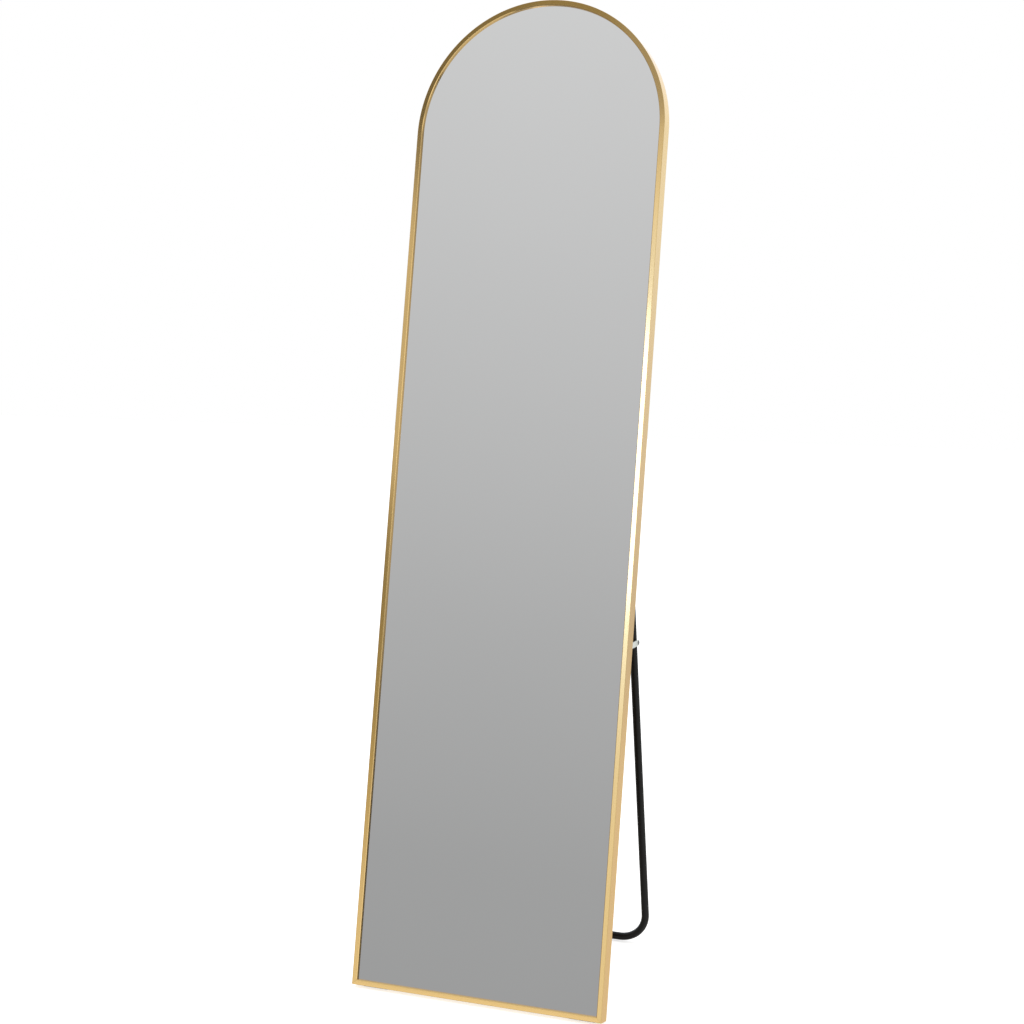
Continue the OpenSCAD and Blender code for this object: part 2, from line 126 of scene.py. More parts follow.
def size_tree(name, **sizes):
    """A geometry tree with a named input for each size, and the sockets that give them."""
    tree = bpy.data.node_groups.new(name, "GeometryNodeTree")
    tree.interface.new_socket("Geometry", in_out="INPUT", socket_type="NodeSocketGeometry")
    for size, value in sizes.items():
        kind = "NodeSocketInt" if isinstance(value, int) else "NodeSocketFloat"
        socket = tree.interface.new_socket(size, in_out="INPUT", socket_type=kind)
        socket.default_value = value
    tree.interface.new_socket("Geometry", in_out="OUTPUT", socket_type="NodeSocketGeometry")
    return tree, tree.nodes.new("NodeGroupInput").outputs


def end_tree(tree, geometry, material):
    """Makes instances real, gives the material and ends the tree."""
    real = add(tree, "GeometryNodeRealizeInstances", {0: geometry})
    painted = add(tree, "GeometryNodeSetMaterial", {"Geometry": real, "Material": material})
    add(tree, "NodeGroupOutput", {0: painted})


def run_tree(tree, start, **sizes):
    """The plain mesh that a tree makes from the curve or mesh it starts with."""
    worker = placed("worker", start)
    modifier = worker.modifiers.new("shape", "NODES")
    modifier.node_group = tree
    for socket in tree.interface.items_tree:
        if socket.in_out == "INPUT" and socket.name in sizes:
            modifier[socket.identifier] = sizes[socket.name]
    return plain_mesh(worker)


def section(*loops, closed=True):
    """A curve of straight runs through (x, y) points, one spline for each loop."""
    curve = bpy.data.curves.new("section", "CURVE")
    curve.dimensions = "3D"
    for loop in loops:
        spline = curve.splines.new("POLY")
        spline.points.add(len(loop) - 1)
        for point, (x, y) in zip(spline.points, loop):
            point.co = (x, y, 0, 1)
        spline.use_cyclic_u = closed
    return curve


def rounded(corners, steps=4):
    """The outline through corners (x, y, radius) in millimetres, with an arc at each corner."""
    outline = []
    for i, (x, y, radius) in enumerate(corners):
        corner = Vector((x, y))
        back = (Vector(corners[i - 1][:2]) - corner).normalized()
        on = (Vector(corners[(i + 1) % len(corners)][:2]) - corner).normalized()
        half = back.angle(on) / 2
        centre = corner + (back + on).normalized() * radius / math.sin(half)
        a = corner + back * radius / math.tan(half) - centre
        b = corner + on * radius / math.tan(half) - centre
        turn = math.pi - 2 * half
        for step in range(steps + 1):
            t = step / steps
            along = (a * math.sin((1 - t) * turn) + b * math.sin(t * turn)) / math.sin(turn)
            outline.append((centre + along) * MM)
    return outline


def swept(tree, path, gap, material):
    """Sweeps the tree's start along a path, saws both ends at 45 degrees and ends the tree."""
    start = tree.nodes["Group Input"].outputs["Geometry"]
    upright = add(tree, "GeometryNodeSetCurveNormal", {0: path}, mode="Z_UP")
    way = add(tree, "GeometryNodeCaptureAttribute", {0: upright})
    for kind, name in (("VECTOR", "Tangent"), ("FLOAT", "Factor"), ("FLOAT", "Length")):
        way.capture_items.new(kind, name)
    spline = add(tree, "GeometryNodeSplineParameter")
    tree.links.new(add(tree, "GeometryNodeInputTangent").outputs[0], way.inputs["Tangent"])
    tree.links.new(spline.outputs["Factor"], way.inputs["Factor"])
    tree.links.new(spline.outputs["Length"], way.inputs["Length"])
    across = add(tree, "GeometryNodeCaptureAttribute", {0: start})
    for name in ("Inset", "Girth"):
        across.capture_items.new("FLOAT", name)
    place = add(tree, "ShaderNodeSeparateXYZ", {0: add(tree, "GeometryNodeInputPosition")})
    tree.links.new(place.outputs["X"], across.inputs["Inset"])
    tree.links.new(spline.outputs["Length"], across.inputs["Girth"])
    skin = add(tree, "GeometryNodeCurveToMesh", {"Curve": way, "Profile Curve": across})
    # The first and the last point of the path, by their share of its length
    end_share = 1e-5
    at_start = calc(tree, "LESS_THAN", way.outputs["Factor"], end_share)
    at_end = calc(tree, "GREATER_THAN", way.outputs["Factor"], 1 - end_share)
    pull = calc(tree, "MULTIPLY", calc(tree, "SUBTRACT", at_start, at_end),
                calc(tree, "ADD", across.outputs["Inset"], gap))
    offset = add(tree, "ShaderNodeVectorMath", {
        0: way.outputs["Tangent"], "Scale": pull,
    }, operation="SCALE")
    sawn = add(tree, "GeometryNodeSetPosition", {"Geometry": skin, "Offset": offset})
    lengths = add(tree, "ShaderNodeCombineXYZ", {
        0: way.outputs["Length"], 1: across.outputs["Girth"],
    })
    mapped = add(tree, "GeometryNodeStoreNamedAttribute", {"Geometry": sawn, "Name": "UVMap"},
                 data_type="FLOAT2", domain="CORNER")
    value = next(s for s in mapped.inputs if s.name == "Value" and s.enabled)
    tree.links.new(lengths.outputs[0], value)
    end_tree(tree, mapped, material)


def with_ends(mesh):
    """Closes the open end on each side of the middle and turns all faces outwards."""
    bm = bmesh.new()
    bm.from_mesh(mesh)
    bmesh.ops.remove_doubles(bm, verts=bm.verts, dist=WELD)
    for side in (-1, 1):
        rim = [e for e in bm.edges if e.is_boundary and side * e.verts[0].co.x > 0]
        bmesh.ops.triangle_fill(bm, edges=rim, use_beauty=True)
    bmesh.ops.recalc_face_normals(bm, faces=bm.faces)
    bm.to_mesh(mesh)
    bm.free()
    return mesh


def piece(name, mesh, place=Matrix(), sharp=32):
    """An object at the origin with its place in its mesh, smooth up to the sharp angle."""
    mesh.transform(place)
    mesh.polygons.foreach_set("use_smooth", [True] * len(mesh.polygons))
    mesh.set_sharp_from_angle(angle=math.radians(sharp))
    worker = placed("worker", mesh)
    worker.modifiers.new("flat faces first", "WEIGHTED_NORMAL").keep_sharp = True
    return placed(name, plain_mesh(worker))


gold = finish(
    "gold anodised aluminium", ((0.70, 0.475, 0.185), (0.76, 0.525, 0.215)), (0.115, 0.155),
    grain=(7, 4200, 1), metallic=1.0, relief=0.000006, detail=5.0, coords="UV",
)
sealed = gold.node_tree.nodes["Principled BSDF"]
sealed.inputs["Specular Tint"].default_value = (1.0, 0.88, 0.78, 1)
sealed.inputs["Coat Weight"].default_value = 0.3
sealed.inputs["Coat Roughness"].default_value = 0.32

HALF_WIDTH = 200 * MM
SPRING_LINE = 1300 * MM
JOINT_GAP = 0.07 * MM
LIP, LIP_T, CROWN, BEVEL, EDGE_R = 8, 4, 0.5, 1, 0.63
WALL, BOX_W, BOX_FRONT, DEPTH, BOX_T = 1.4, 14, 14.8, 22.8, 1.2
LIP_R, LIP_BACK_R, INNER_R, BOX_R, HOLLOW_R = 0.2, 0.1, 0.05, 0.25, 0.3
# The front falls back by the crown up to where the rounding of the outer edge begins
SIDE_EDGE = CROWN * (LIP - BEVEL) / (LIP - BEVEL - EDGE_R)
HOLLOW_SIDE, HOLLOW_FRONT, HOLLOW_BACK = BOX_W - BOX_T, BOX_FRONT + BOX_T, DEPTH - BOX_T
profile = section(
    rounded([
        (0, SIDE_EDGE, EDGE_R), (LIP - BEVEL, 0, LIP_R), (LIP, BEVEL, LIP_R),
        (LIP, LIP_T, LIP_BACK_R), (WALL, LIP_T, INNER_R), (WALL, BOX_FRONT, INNER_R),
        (BOX_W, BOX_FRONT, BOX_R), (BOX_W, DEPTH, BOX_R), (0, DEPTH, EDGE_R),
    ]),
    rounded([
        (WALL, HOLLOW_FRONT, HOLLOW_R), (HOLLOW_SIDE, HOLLOW_FRONT, HOLLOW_R),
        (HOLLOW_SIDE, HOLLOW_BACK, HOLLOW_R), (WALL, HOLLOW_BACK, HOLLOW_R),
    ]),
)

tree, size = size_tree(
    "bent profile", Half_Width=0.1, Spring_Line=1.0, Arc_Steps=48, Joint_Gap=0.0,
)
points = add(tree, "GeometryNodeResampleCurve", {
    "Curve": add(tree, "GeometryNodeCurvePrimitiveLine"),
    "Count": calc(tree, "ADD", size["Arc_Steps"], 3),
}, mode="COUNT")
number = calc(tree, "SUBTRACT", add(tree, "GeometryNodeInputIndex"), 1)
step = add(tree, "ShaderNodeClamp", {0: calc(tree, "DIVIDE", number, size["Arc_Steps"])})
turn = calc(tree, "MULTIPLY", step, math.pi)
to_left = calc(tree, "MULTIPLY", size["Half_Width"], -1)
across = calc(tree, "MULTIPLY", calc(tree, "COSINE", turn), to_left)
rise = calc(tree, "MULTIPLY", calc(tree, "SINE", turn), size["Half_Width"])
over = calc(tree, "ADD", size["Spring_Line"], rise)
foot = add(tree, "GeometryNodeCurveEndpointSelection", {"Start Size": 1, "End Size": 1})
height = calc(tree, "MULTIPLY", over, calc(tree, "SUBTRACT", 1.0, foot))
path = add(tree, "GeometryNodeSetPosition", {
    "Geometry": points, "Position": add(tree, "ShaderNodeCombineXYZ", {0: across, 1: height}),
})
swept(tree, path, size["Joint_Gap"], gold)
bent_profile = with_ends(run_tree(
    tree, profile, Half_Width=HALF_WIDTH, Spring_Line=SPRING_LINE, Arc_Steps=143,
    Joint_Gap=JOINT_GAP,
))


def drilled(mesh, places, radius):
    """Drills the back wall at (x, height) places, for the key of a grub screw."""
    worker = placed("worker", mesh)
    # Its middle lies in the back face, so half of it goes just through the wall
    drill_len = 2.25 * BOX_T * MM
    drills = []
    for x, height in places:
        bm = bmesh.new()
        bmesh.ops.create_cone(
            bm, cap_ends=True, segments=48, radius1=radius, radius2=radius, depth=drill_len,
            matrix=Matrix.Translation((x, height, -DEPTH * MM)),
        )
        tool = bpy.data.meshes.new("drill")
        bm.to_mesh(tool)
        bm.free()
        drills.append(placed("drill", tool))
        cut = worker.modifiers.new("hole", "BOOLEAN")
        cut.object = drills[-1]
        cut.solver = "EXACT"
    mesh = plain_mesh(worker)
    for drill in drills:
        bpy.data.objects.remove(drill)
    return mesh


KEY_HOLE, GRUB_AT, GRUB_IN = 2.3 * MM, 28 * MM, 7 * MM
side_holes = [(s * (HALF_WIDTH - GRUB_IN), GRUB_AT) for s in (-1, 1)]
bent_profile = drilled(bent_profile, side_holes, KEY_HOLE)
side_and_top = piece("side_and_top_profile", bent_profile, leaning @ standing_up)
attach(side_and_top, "mirror")
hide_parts("arch_profile")

# Bottom rail
# A straight length of the same profile, from one mitre to the other. It has the same brushed
# gold finish, and its grub screws are reached through the two holes in its back.

tree, size = size_tree("straight profile", Half_Width=0.1, Joint_Gap=0.0)
left = add(tree, "ShaderNodeCombineXYZ", {0: calc(tree, "MULTIPLY", size["Half_Width"], -1)})
right = add(tree, "ShaderNodeCombineXYZ", {0: size["Half_Width"]})
path = add(tree, "GeometryNodeCurvePrimitiveLine", {"Start": right, "End": left})
swept(tree, path, size["Joint_Gap"], gold)
rail_mesh = with_ends(run_tree(tree, profile, Half_Width=HALF_WIDTH, Joint_Gap=JOINT_GAP))
rail_holes = [(s * (HALF_WIDTH - GRUB_AT), GRUB_IN) for s in (-1, 1)]
rail_mesh = drilled(rail_mesh, rail_holes, KEY_HOLE)
rail = piece("bottom_profile", rail_mesh, leaning @ standing_up)
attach(rail, "mirror")
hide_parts("bottom_rail")

# Corner keys
# Die-cast angles that lie inside the box of the profile across each mitre. Grub screws with a
# hexagon socket spread them against the walls and hold the corners tight.


def dress(material, *nodes):
    """Gives CAD nodes their finish and leaves their shape alone."""
    for node in nodes:
        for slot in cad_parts[node].material_slots:
            slot.material = material


die_cast = finish(
    "die-cast zinc", ((0.42, 0.42, 0.43), (0.62, 0.62, 0.63)), (0.42, 0.62),
    grain=(900, 900, 900), metallic=1.0, relief=0.00004,
)
dark_steel = finish(
    "black zinc steel", ((0.055, 0.055, 0.06), (0.12, 0.12, 0.125)), (0.28, 0.42),
    grain=(700, 700, 700), metallic=1.0, relief=0.00001,
)
dress(die_cast, "corner_key_left", "corner_key_right")
dress(dark_steel, "corner_grub_screws")

# Mirror glass
# Float glass 3 mm thick, silvered on its back and cut to the arch. It lies behind the lip and
# shows the room in front of it; its own colour is the faint grey of good silvering.

mirror = finish(
    "silvered glass", ((0.895, 0.90, 0.90), (0.905, 0.91, 0.91)), (0.0, 0.012),
    grain=(3, 3, 3), metallic=1.0, detail=2.0,
)
dress(mirror, "mirror_glass")

# Safety film
# A clear bluish plastic film, stuck to the painted back of the glass. It holds the pieces
# together if the glass breaks.

film = finish(
    "safety film", ((0.62, 0.68, 0.74), (0.70, 0.75, 0.80)), (0.25, 0.45),
    grain=(60, 60, 9), relief=0.00005,
)
dress(film, "safety_film")

# Foam sheet
# A sheet of white closed-cell foam, laid loose between the film and the board. It takes up what
# is not flat and keeps the glass from rattling.

foam = finish(
    "white foam", ((0.80, 0.80, 0.79), (0.90, 0.90, 0.89)), (0.85, 0.95),
    grain=(1300, 1300, 1300), relief=0.0003,
)
dress(foam, "foam_sheet")

# Back board
# Brown hardboard, 3 mm thick, cut to the same arch as the glass. Its smooth side faces back, so
# the pressed fibres show as fine speckle with soft darker clouds.

hardboard = finish(
    "hardboard", ((0.150, 0.088, 0.046), (0.235, 0.148, 0.082)), (0.50, 0.68),
    grain=(420, 420, 260), relief=0.00005, detail=9.0,
)
fibres = hardboard.node_tree
clouds = add(fibres, "ShaderNodeTexNoise", {
    "Vector": add(fibres, "ShaderNodeTexCoord").outputs["Object"], "Scale": 9.0, "Detail": 3.0,
})
shade = add(fibres, "ShaderNodeMapRange", {
    "Value": clouds, "From Min": NOISE_LOW, "From Max": NOISE_HIGH, "To Min": 0.82, "To Max": 1.08,
})
board_shader = fibres.nodes["Principled BSDF"]
speckle = board_shader.inputs["Base Color"].links[0].from_socket
tinted = add(fibres, "ShaderNodeVectorMath", {
    0: speckle, "Scale": shade.outputs[0],
}, operation="SCALE")
fibres.links.new(tinted.outputs[0], board_shader.inputs["Base Color"])
dress(hardboard, "back_board")

# Leaf springs
# Bowed strips of blued spring steel, pushed in between the board and the box of the profile.
# Their ends press on the board: four on each side, one at the bottom and one under the top.

blued_steel = finish(
    "blued spring steel", ((0.10, 0.14, 0.21), (0.19, 0.23, 0.30)), (0.22, 0.36),
    grain=(300, 300, 30), metallic=1.0, relief=0.00001,
)
SPRING_LEN, SPRING_W, SPRING_T, RISE = 60 * MM, 12 * MM, 0.5 * MM, 2.0 * MM
BOARD_BACK, SHEET_EDGE, PRESS = 12.2 * MM, 2 * MM, 0.05 * MM
LOWEST_SPRING, SPRING_STEP = 150 * MM, 1000 / 3 * MM


def places(spots):
    """A mesh of single points (x, y, z) with a turn about the depth axis, in degrees, at each."""
    mesh = bpy.data.meshes.new("places")
    mesh.from_pydata([spot[:3] for spot in spots], [], [])
    turn = mesh.attributes.new("Turn", "FLOAT", "POINT")
    turn.data.foreach_set("value", [math.radians(spot[3]) for spot in spots])
    return mesh


def put_at_places(tree, shape):
    """Puts the shape on every point of the tree's start, turned about its depth axis."""
    turn = add(tree, "GeometryNodeInputNamedAttribute", {"Name": "Turn"}, data_type="FLOAT")
    angles = add(tree, "ShaderNodeCombineXYZ", {1: turn.outputs[0]})
    return add(tree, "GeometryNodeInstanceOnPoints", {
        "Points": tree.nodes["Group Input"].outputs["Geometry"],
        "Instance": shape, "Rotation": angles,
    })


tree, size = size_tree("leaf spring", Length=0.06, Width=0.012, Thickness=0.0005, Rise=0.002)
half_length = calc(tree, "MULTIPLY", size["Length"], 0.5)
bow = add(tree, "GeometryNodeCurveArc", {
    "Resolution": 32,
    "Start": add(tree, "ShaderNodeCombineXYZ", {0: calc(tree, "MULTIPLY", half_length, -1)}),
    "Middle": add(tree, "ShaderNodeCombineXYZ", {1: size["Rise"]}),
    "End": add(tree, "ShaderNodeCombineXYZ", {0: half_length}),
}, mode="POINTS")
strip = add(tree, "GeometryNodeCurvePrimitiveQuadrilateral", {
    "Width": size["Thickness"], "Height": size["Width"],
}, mode="RECTANGLE")
leaf = add(tree, "GeometryNodeCurveToMesh", {
    "Curve": add(tree, "GeometryNodeSetCurveNormal", {0: bow}, mode="Z_UP"),
    "Profile Curve": strip, "Fill Caps": True,
})
end_tree(tree, put_at_places(tree, leaf), blued_steel)
side_heights = [LOWEST_SPRING + SPRING_STEP * i for i in range(4)]
depth = BOARD_BACK + PRESS + SPRING_T / 2
edge_in = SHEET_EDGE + SPRING_W / 2
# The ends of the top spring stay inside the round edge of the board
round_off = HALF_WIDTH - math.sqrt(HALF_WIDTH ** 2 - SPRING_LEN ** 2 / 4)
spots = [(s * (HALF_WIDTH - edge_in), depth, up, 90) for s in (-1, 1) for up in side_heights]
spots += [(0, depth, edge_in, 0)]
spots += [(0, depth, SPRING_LINE + HALF_WIDTH - edge_in - round_off, 0)]
springs = piece("leaf_springs", run_tree(
    tree, places(spots), Length=SPRING_LEN, Width=SPRING_W, Thickness=SPRING_T, Rise=RISE,
), leaning)
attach(springs, "mirror")
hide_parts("board_springs")

# Hinge brackets
# Pressed sheet steel, 2 mm thick, with a turned edge above and below and two ears for the pin.
# They are powder coated black and screwed to the back of the profile.

PRESSED_EDGE = 0.35 * MM


def eased(node, radius, name, material):
    """A copy of a CAD node with its pressed or moulded edges rounded."""
    flat, corner = math.radians(1), math.radians(40)
    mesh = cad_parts[node].data.copy()
    mesh.materials.clear()
    mesh.materials.append(material)
    bm = bmesh.new()
    bm.from_mesh(mesh)
    bmesh.ops.remove_doubles(bm, verts=bm.verts, dist=2 * WELD)
    bmesh.ops.dissolve_limit(bm, angle_limit=flat, verts=bm.verts, edges=bm.edges)
    corners = [e for e in bm.edges if e.is_manifold and e.calc_face_angle(0) > corner]
    bmesh.ops.bevel(bm, geom=corners, offset=radius, segments=3, profile=0.5, affect="EDGES",
                    clamp_overlap=True)
    for face in bm.faces:
        face.material_index = 0
    bm.to_mesh(mesh)
    bm.free()
    return piece(name, mesh)


powder_coat = finish(
    "black powder coat", ((0.007, 0.0066, 0.006), (0.011, 0.0105, 0.0095)), (0.36, 0.50),
    grain=(1100, 1100, 1100), relief=0.00003,
)
powder_coat.node_tree.nodes["Principled BSDF"].inputs["Specular IOR Level"].default_value = 0.22
for side in ("left", "right"):
    node = "hinge_bracket_" + side
    bracket = eased(node, PRESSED_EDGE, "pressed_" + node, powder_coat)
    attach(bracket, "mirror")
    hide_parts(node)

# Bracket screws
# Pan head screws with a cross recess, black zinc plated, three in each hinge bracket and two in
# each stay bracket. Each stops at its own turn of the head.

SCREW_R, SCREW_LEN, HEAD_R, HEAD_T = 1.75 * MM, 7.5 * MM, 3.5 * MM, 2.2 * MM
SCREW_TIP_R, HEAD_EDGE = 0.3 * MM, 0.05 * MM
RECESS_W, RECESS_LEN, RECESS_FLOOR = 0.9 * MM, 4.2 * MM, 1.1 * MM
SCREW_X, PLATE_BACK = 193 * MM, 24.8 * MM
HINGE_HEIGHT, HINGE_SCREW_STEP = 925 * MM, 23 * MM
STAY_HEIGHT, STAY_SCREW_IN = 520 * MM, 9 * MM
TURNS = (12, 71, 38, 55, 20, 83)
# A turned shape changes its radius over this length, and a dome ends in this radius
STEP = 0.001 * MM
# The rim of a turned head starts at this share of its radius
RIM_START = 0.96


def lathe_line(stations):
    """A straight curve along Z through (height, radius) stations, for turned shapes."""
    curve = bpy.data.curves.new("turned", "CURVE")
    curve.dimensions = "3D"
    spline = curve.splines.new("POLY")
    spline.points.add(len(stations) - 1)
    for point, (height, radius) in zip(spline.points, stations):
        point.co = (0, 0, height, 1)
        point.radius = radius
    return curve


def dome(base, top, radius, steps=7):
    """Stations of a domed head from its rim at height base to its crown at height top."""
    rim_share, edge_share, edge_radius = 0.3, 0.35, 0.97
    rim = base + (top - base) * rim_share
    arc = [math.radians(90 * i / steps) for i in range(steps + 1)]
    return [(base, radius * edge_radius), (base + (rim - base) * edge_share, radius)] + [
        (rim + (top - rim) * math.sin(a), max(radius * math.cos(a), STEP)) for a in arc
    ]


def lathe_tree(name, material):
    """A tree that turns its start into a round solid, along the Z axis."""
    tree, size = size_tree(name, Facets=48)
    ring = add(tree, "GeometryNodeCurvePrimitiveCircle", {
        "Resolution": size["Facets"], "Radius": 1.0,
    })
    turned = add(tree, "GeometryNodeCurveToMesh", {
        "Curve": size["Geometry"], "Profile Curve": ring,
        "Scale": add(tree, "GeometryNodeInputRadius"), "Fill Caps": True,
    })
    end_tree(tree, turned, material)
    return tree


turning = lathe_tree("turned steel", dark_steel)
screw_line = lathe_line([
    (-SCREW_LEN, SCREW_TIP_R), (-SCREW_LEN + 2 * SCREW_R, SCREW_R), (-STEP, SCREW_R),
    (0, HEAD_R * RIM_START),
] + dome(HEAD_EDGE, HEAD_T, HEAD_R))
blank = placed("screw blank", run_tree(turning, screw_line, Facets=40))
tree, size = size_tree(
    "cross recess screws", Slot_Width=0.001, Slot_Length=0.004, Slot_Floor=0.001,
)
read = add(tree, "GeometryNodeObjectInfo", {"Object": blank})
recess = add(tree, "GeometryNodeMeshBoolean", {0: read.outputs["Geometry"]}, operation="DIFFERENCE")
punch_len = 4 * HEAD_T
raised = add(tree, "ShaderNodeCombineXYZ", {
    2: calc(tree, "ADD", size["Slot_Floor"], punch_len / 2),
})
for axis in (0, 1):
    sides = add(tree, "ShaderNodeCombineXYZ", {
        axis: size["Slot_Length"], 1 - axis: size["Slot_Width"], 2: punch_len,
    })
    punch = add(tree, "GeometryNodeMeshCube", {"Size": sides})
    slot = add(tree, "GeometryNodeTransform", {"Geometry": punch, "Translation": raised})
    tree.links.new(slot.outputs[0], recess.inputs[1])
facing_back = add(tree, "GeometryNodeTransform", {
    "Geometry": recess, "Rotation": (-math.pi / 2, 0, 0),
})
end_tree(tree, put_at_places(tree, facing_back), dark_steel)
rows = {
    "hinge_bracket_screws": [HINGE_HEIGHT + i * HINGE_SCREW_STEP for i in (-1, 0, 1)],
    "stay_bracket_screws": [STAY_HEIGHT + i * STAY_SCREW_IN for i in (-1, 1)],
}
for node, heights in rows.items():
    seats = [(s * SCREW_X, PLATE_BACK, up) for s in (-1, 1) for up in heights]
    spots = [(*seat, turn) for seat, turn in zip(seats, TURNS)]
    screws = piece("cross_recess_" + node, run_tree(
        tree, places(spots), Slot_Width=RECESS_W, Slot_Length=RECESS_LEN, Slot_Floor=RECESS_FLOOR,
    ), leaning)
    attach(screws, "mirror")
    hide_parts(node)
bpy.data.objects.remove(blank)

# Stand tube
# Round steel tube, 12 mm across, bent twice into a U and powder coated satin black. The legs
# hang from the hinge brackets and the crossbar between them stands on the floor.

HINGE_LINE = Vector((0, 32.2823, 906.9971)) * MM
LEG_LEAN = math.radians(8.72703)
LEG_X, LEG_LEN, TUBE_OVER = 150 * MM, 909.5272 * MM, 8 * MM
TUBE_R, TUBE_T, BEND_R = 6 * MM, 1.2 * MM, 45 * MM
# What belongs to the legs is laid out upright from the middle of the hinge line, and then leaned
on_leg = Matrix.Translation(HINGE_LINE) @ Matrix.Rotation(LEG_LEAN, 4, "X")

tube_coat = finish(
    "satin black tube coat", ((0.0065, 0.006, 0.0052), (0.0095, 0.009, 0.008)), (0.34, 0.46),
    grain=(800, 800, 800), relief=0.00003,
)
tube_coat.node_tree.nodes["Principled BSDF"].inputs["Specular IOR Level"].default_value = 0.22
tree, size = size_tree("bent tube", Bend=0.04, Radius=0.006, Wall=0.001)
bent = add(tree, "GeometryNodeFilletCurve", {
    "Curve": size["Geometry"], "Radius": size["Bend"], "Count": 28, "Limit Radius": True,
}, mode="POLY")
walls = add(tree, "GeometryNodeJoinGeometry")
for radius in (size["Radius"], calc(tree, "SUBTRACT", size["Radius"], size["Wall"])):
    ring = add(tree, "GeometryNodeCurvePrimitiveCircle", {"Resolution": 48, "Radius": radius})
    wall = add(tree, "GeometryNodeCurveToMesh", {"Curve": bent, "Profile Curve": ring})
    tree.links.new(wall.outputs[0], walls.inputs[0])
end_tree(tree, walls, tube_coat)
corners = [(-LEG_X, TUBE_OVER), (-LEG_X, -LEG_LEN), (LEG_X, -LEG_LEN), (LEG_X, TUBE_OVER)]
tube_mesh = with_ends(run_tree(
    tree, section(corners, closed=False), Bend=BEND_R, Radius=TUBE_R, Wall=TUBE_T,
))
tube = piece("bent_tube", tube_mesh, on_leg @ standing_up)
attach(tube, "stand")
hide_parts("stand_tube")

# Tube end plugs
# Moulded black plastic plugs with a low domed head, pushed into the open tops of the legs so
# that no cut edge is left bare.

black_plastic = finish(
    "moulded black plastic", ((0.013, 0.013, 0.013), (0.022, 0.022, 0.022)), (0.40, 0.55),
    grain=(1500, 1500, 1500), relief=0.00004,
)
moulding = lathe_tree("moulded plug", black_plastic)
PLUG_HEAD, PLUG_STEM, LEAD_IN, FIT = 1.2 * MM, 4.5 * MM, 0.5 * MM, 0.05 * MM
BORE_R = TUBE_R - TUBE_T
plug_line = lathe_line([
    (-PLUG_STEM, BORE_R - LEAD_IN), (-PLUG_STEM + LEAD_IN, BORE_R - FIT), (-STEP, BORE_R - FIT),
] + dome(0, PLUG_HEAD, TUBE_R - FIT))
for side, x in (("left", -LEG_X), ("right", LEG_X)):
    top = on_leg @ Matrix.Translation((x, 0, TUBE_OVER))
    plug = piece("domed_tube_plug_" + side, run_tree(moulding, plug_line, Facets=48), top)
    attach(plug, "stand")
    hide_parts("tube_plug_" + side)

# Hinge pins
# Black steel pins, one through the ears of each bracket and the leg between them. A domed head
# outside each ear holds the pin in place.

along_x = Matrix.Rotation(math.radians(90), 4, "Y")
EAR_IN, EAR_OUT, HINGE_DEPTH = 141.5 * MM, 158.5 * MM, 34.8 * MM
PIN_R, PIN_HEAD_R, PIN_HEAD_T = 2.5 * MM, 4.5 * MM, 0.9 * MM


def headed(low, high, shank, head_r, head_t, collars=()):
    """Stations of a pin from x low to x high between its domed heads, with collars between."""
    line = [(low - (h - low), r) for h, r in reversed(dome(low, low + head_t, head_r))]
    line += [(low + STEP, shank)]
    for start, end, radius in collars:
        line += [(start - STEP, shank), (start, radius), (end, radius), (end + STEP, shank)]
    line += [(high - STEP, shank)] + dome(high, high + head_t, head_r)
    return lathe_line(line)


def on_side(side, matrix, tree, turned_line):
    """The mesh of a turned piece along X, placed by a matrix, on the left or right side."""
    mesh = run_tree(tree, turned_line, Facets=40)
    mesh.transform(matrix @ along_x)
    if side == "left":
        mesh.transform(Matrix.Diagonal((-1, 1, 1, 1)))
        mesh.flip_normals()
    return mesh


def fasten(name, side, mesh, body, node):
    """The finished pin or rivet on its body, in place of its CAD node."""
    pin = piece(name + "_" + side, mesh)
    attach(pin, body)
    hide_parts(node + "_" + side)


hinge_axis = leaning @ Matrix.Translation((0, HINGE_DEPTH, HINGE_HEIGHT))
for side in ("left", "right"):
    line = headed(EAR_IN, EAR_OUT, PIN_R, PIN_HEAD_R, PIN_HEAD_T)
    mesh = on_side(side, hinge_axis, turning, line)
    fasten("domed_hinge_pin", side, mesh, "mirror", "hinge_pin")

# Stay brackets
# Plates of bright zinc plated steel, screwed to the profile below the hinges. Each has one ear,
# which the stay turns on.

zinc_plate = finish(
    "bright zinc plate", ((0.70, 0.72, 0.63), (0.87, 0.88, 0.79)), (0.24, 0.38),
    grain=(240, 90, 240), metallic=1.0, relief=0.00001, detail=6.0,
)
for side in ("left", "right"):
    node = "stay_bracket_" + side
    bracket = eased(node, PRESSED_EDGE, "pressed_" + node, zinc_plate)
    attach(bracket, "mirror")
    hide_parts(node)

# Stay links
# Two flat links of zinc plated strip for each stay, with round ends. They lie in line when the
# stand is open and fold at the elbow when it is pushed flat.

STRIP_EDGE = 0.3 * MM
for side in ("left", "right"):
    for end in ("frame", "leg"):
        node = end + "_link_" + side
        link = eased(node, STRIP_EDGE, "stay_strip_" + end + "_" + side, zinc_plate)
        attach(link, node)
        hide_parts(node)

# Stay rivets
# Plain grey steel rivets with domed heads: one through the ear of the bracket, a shouldered one
# through the leg, and one at the elbow whose two halves face each other between the links.

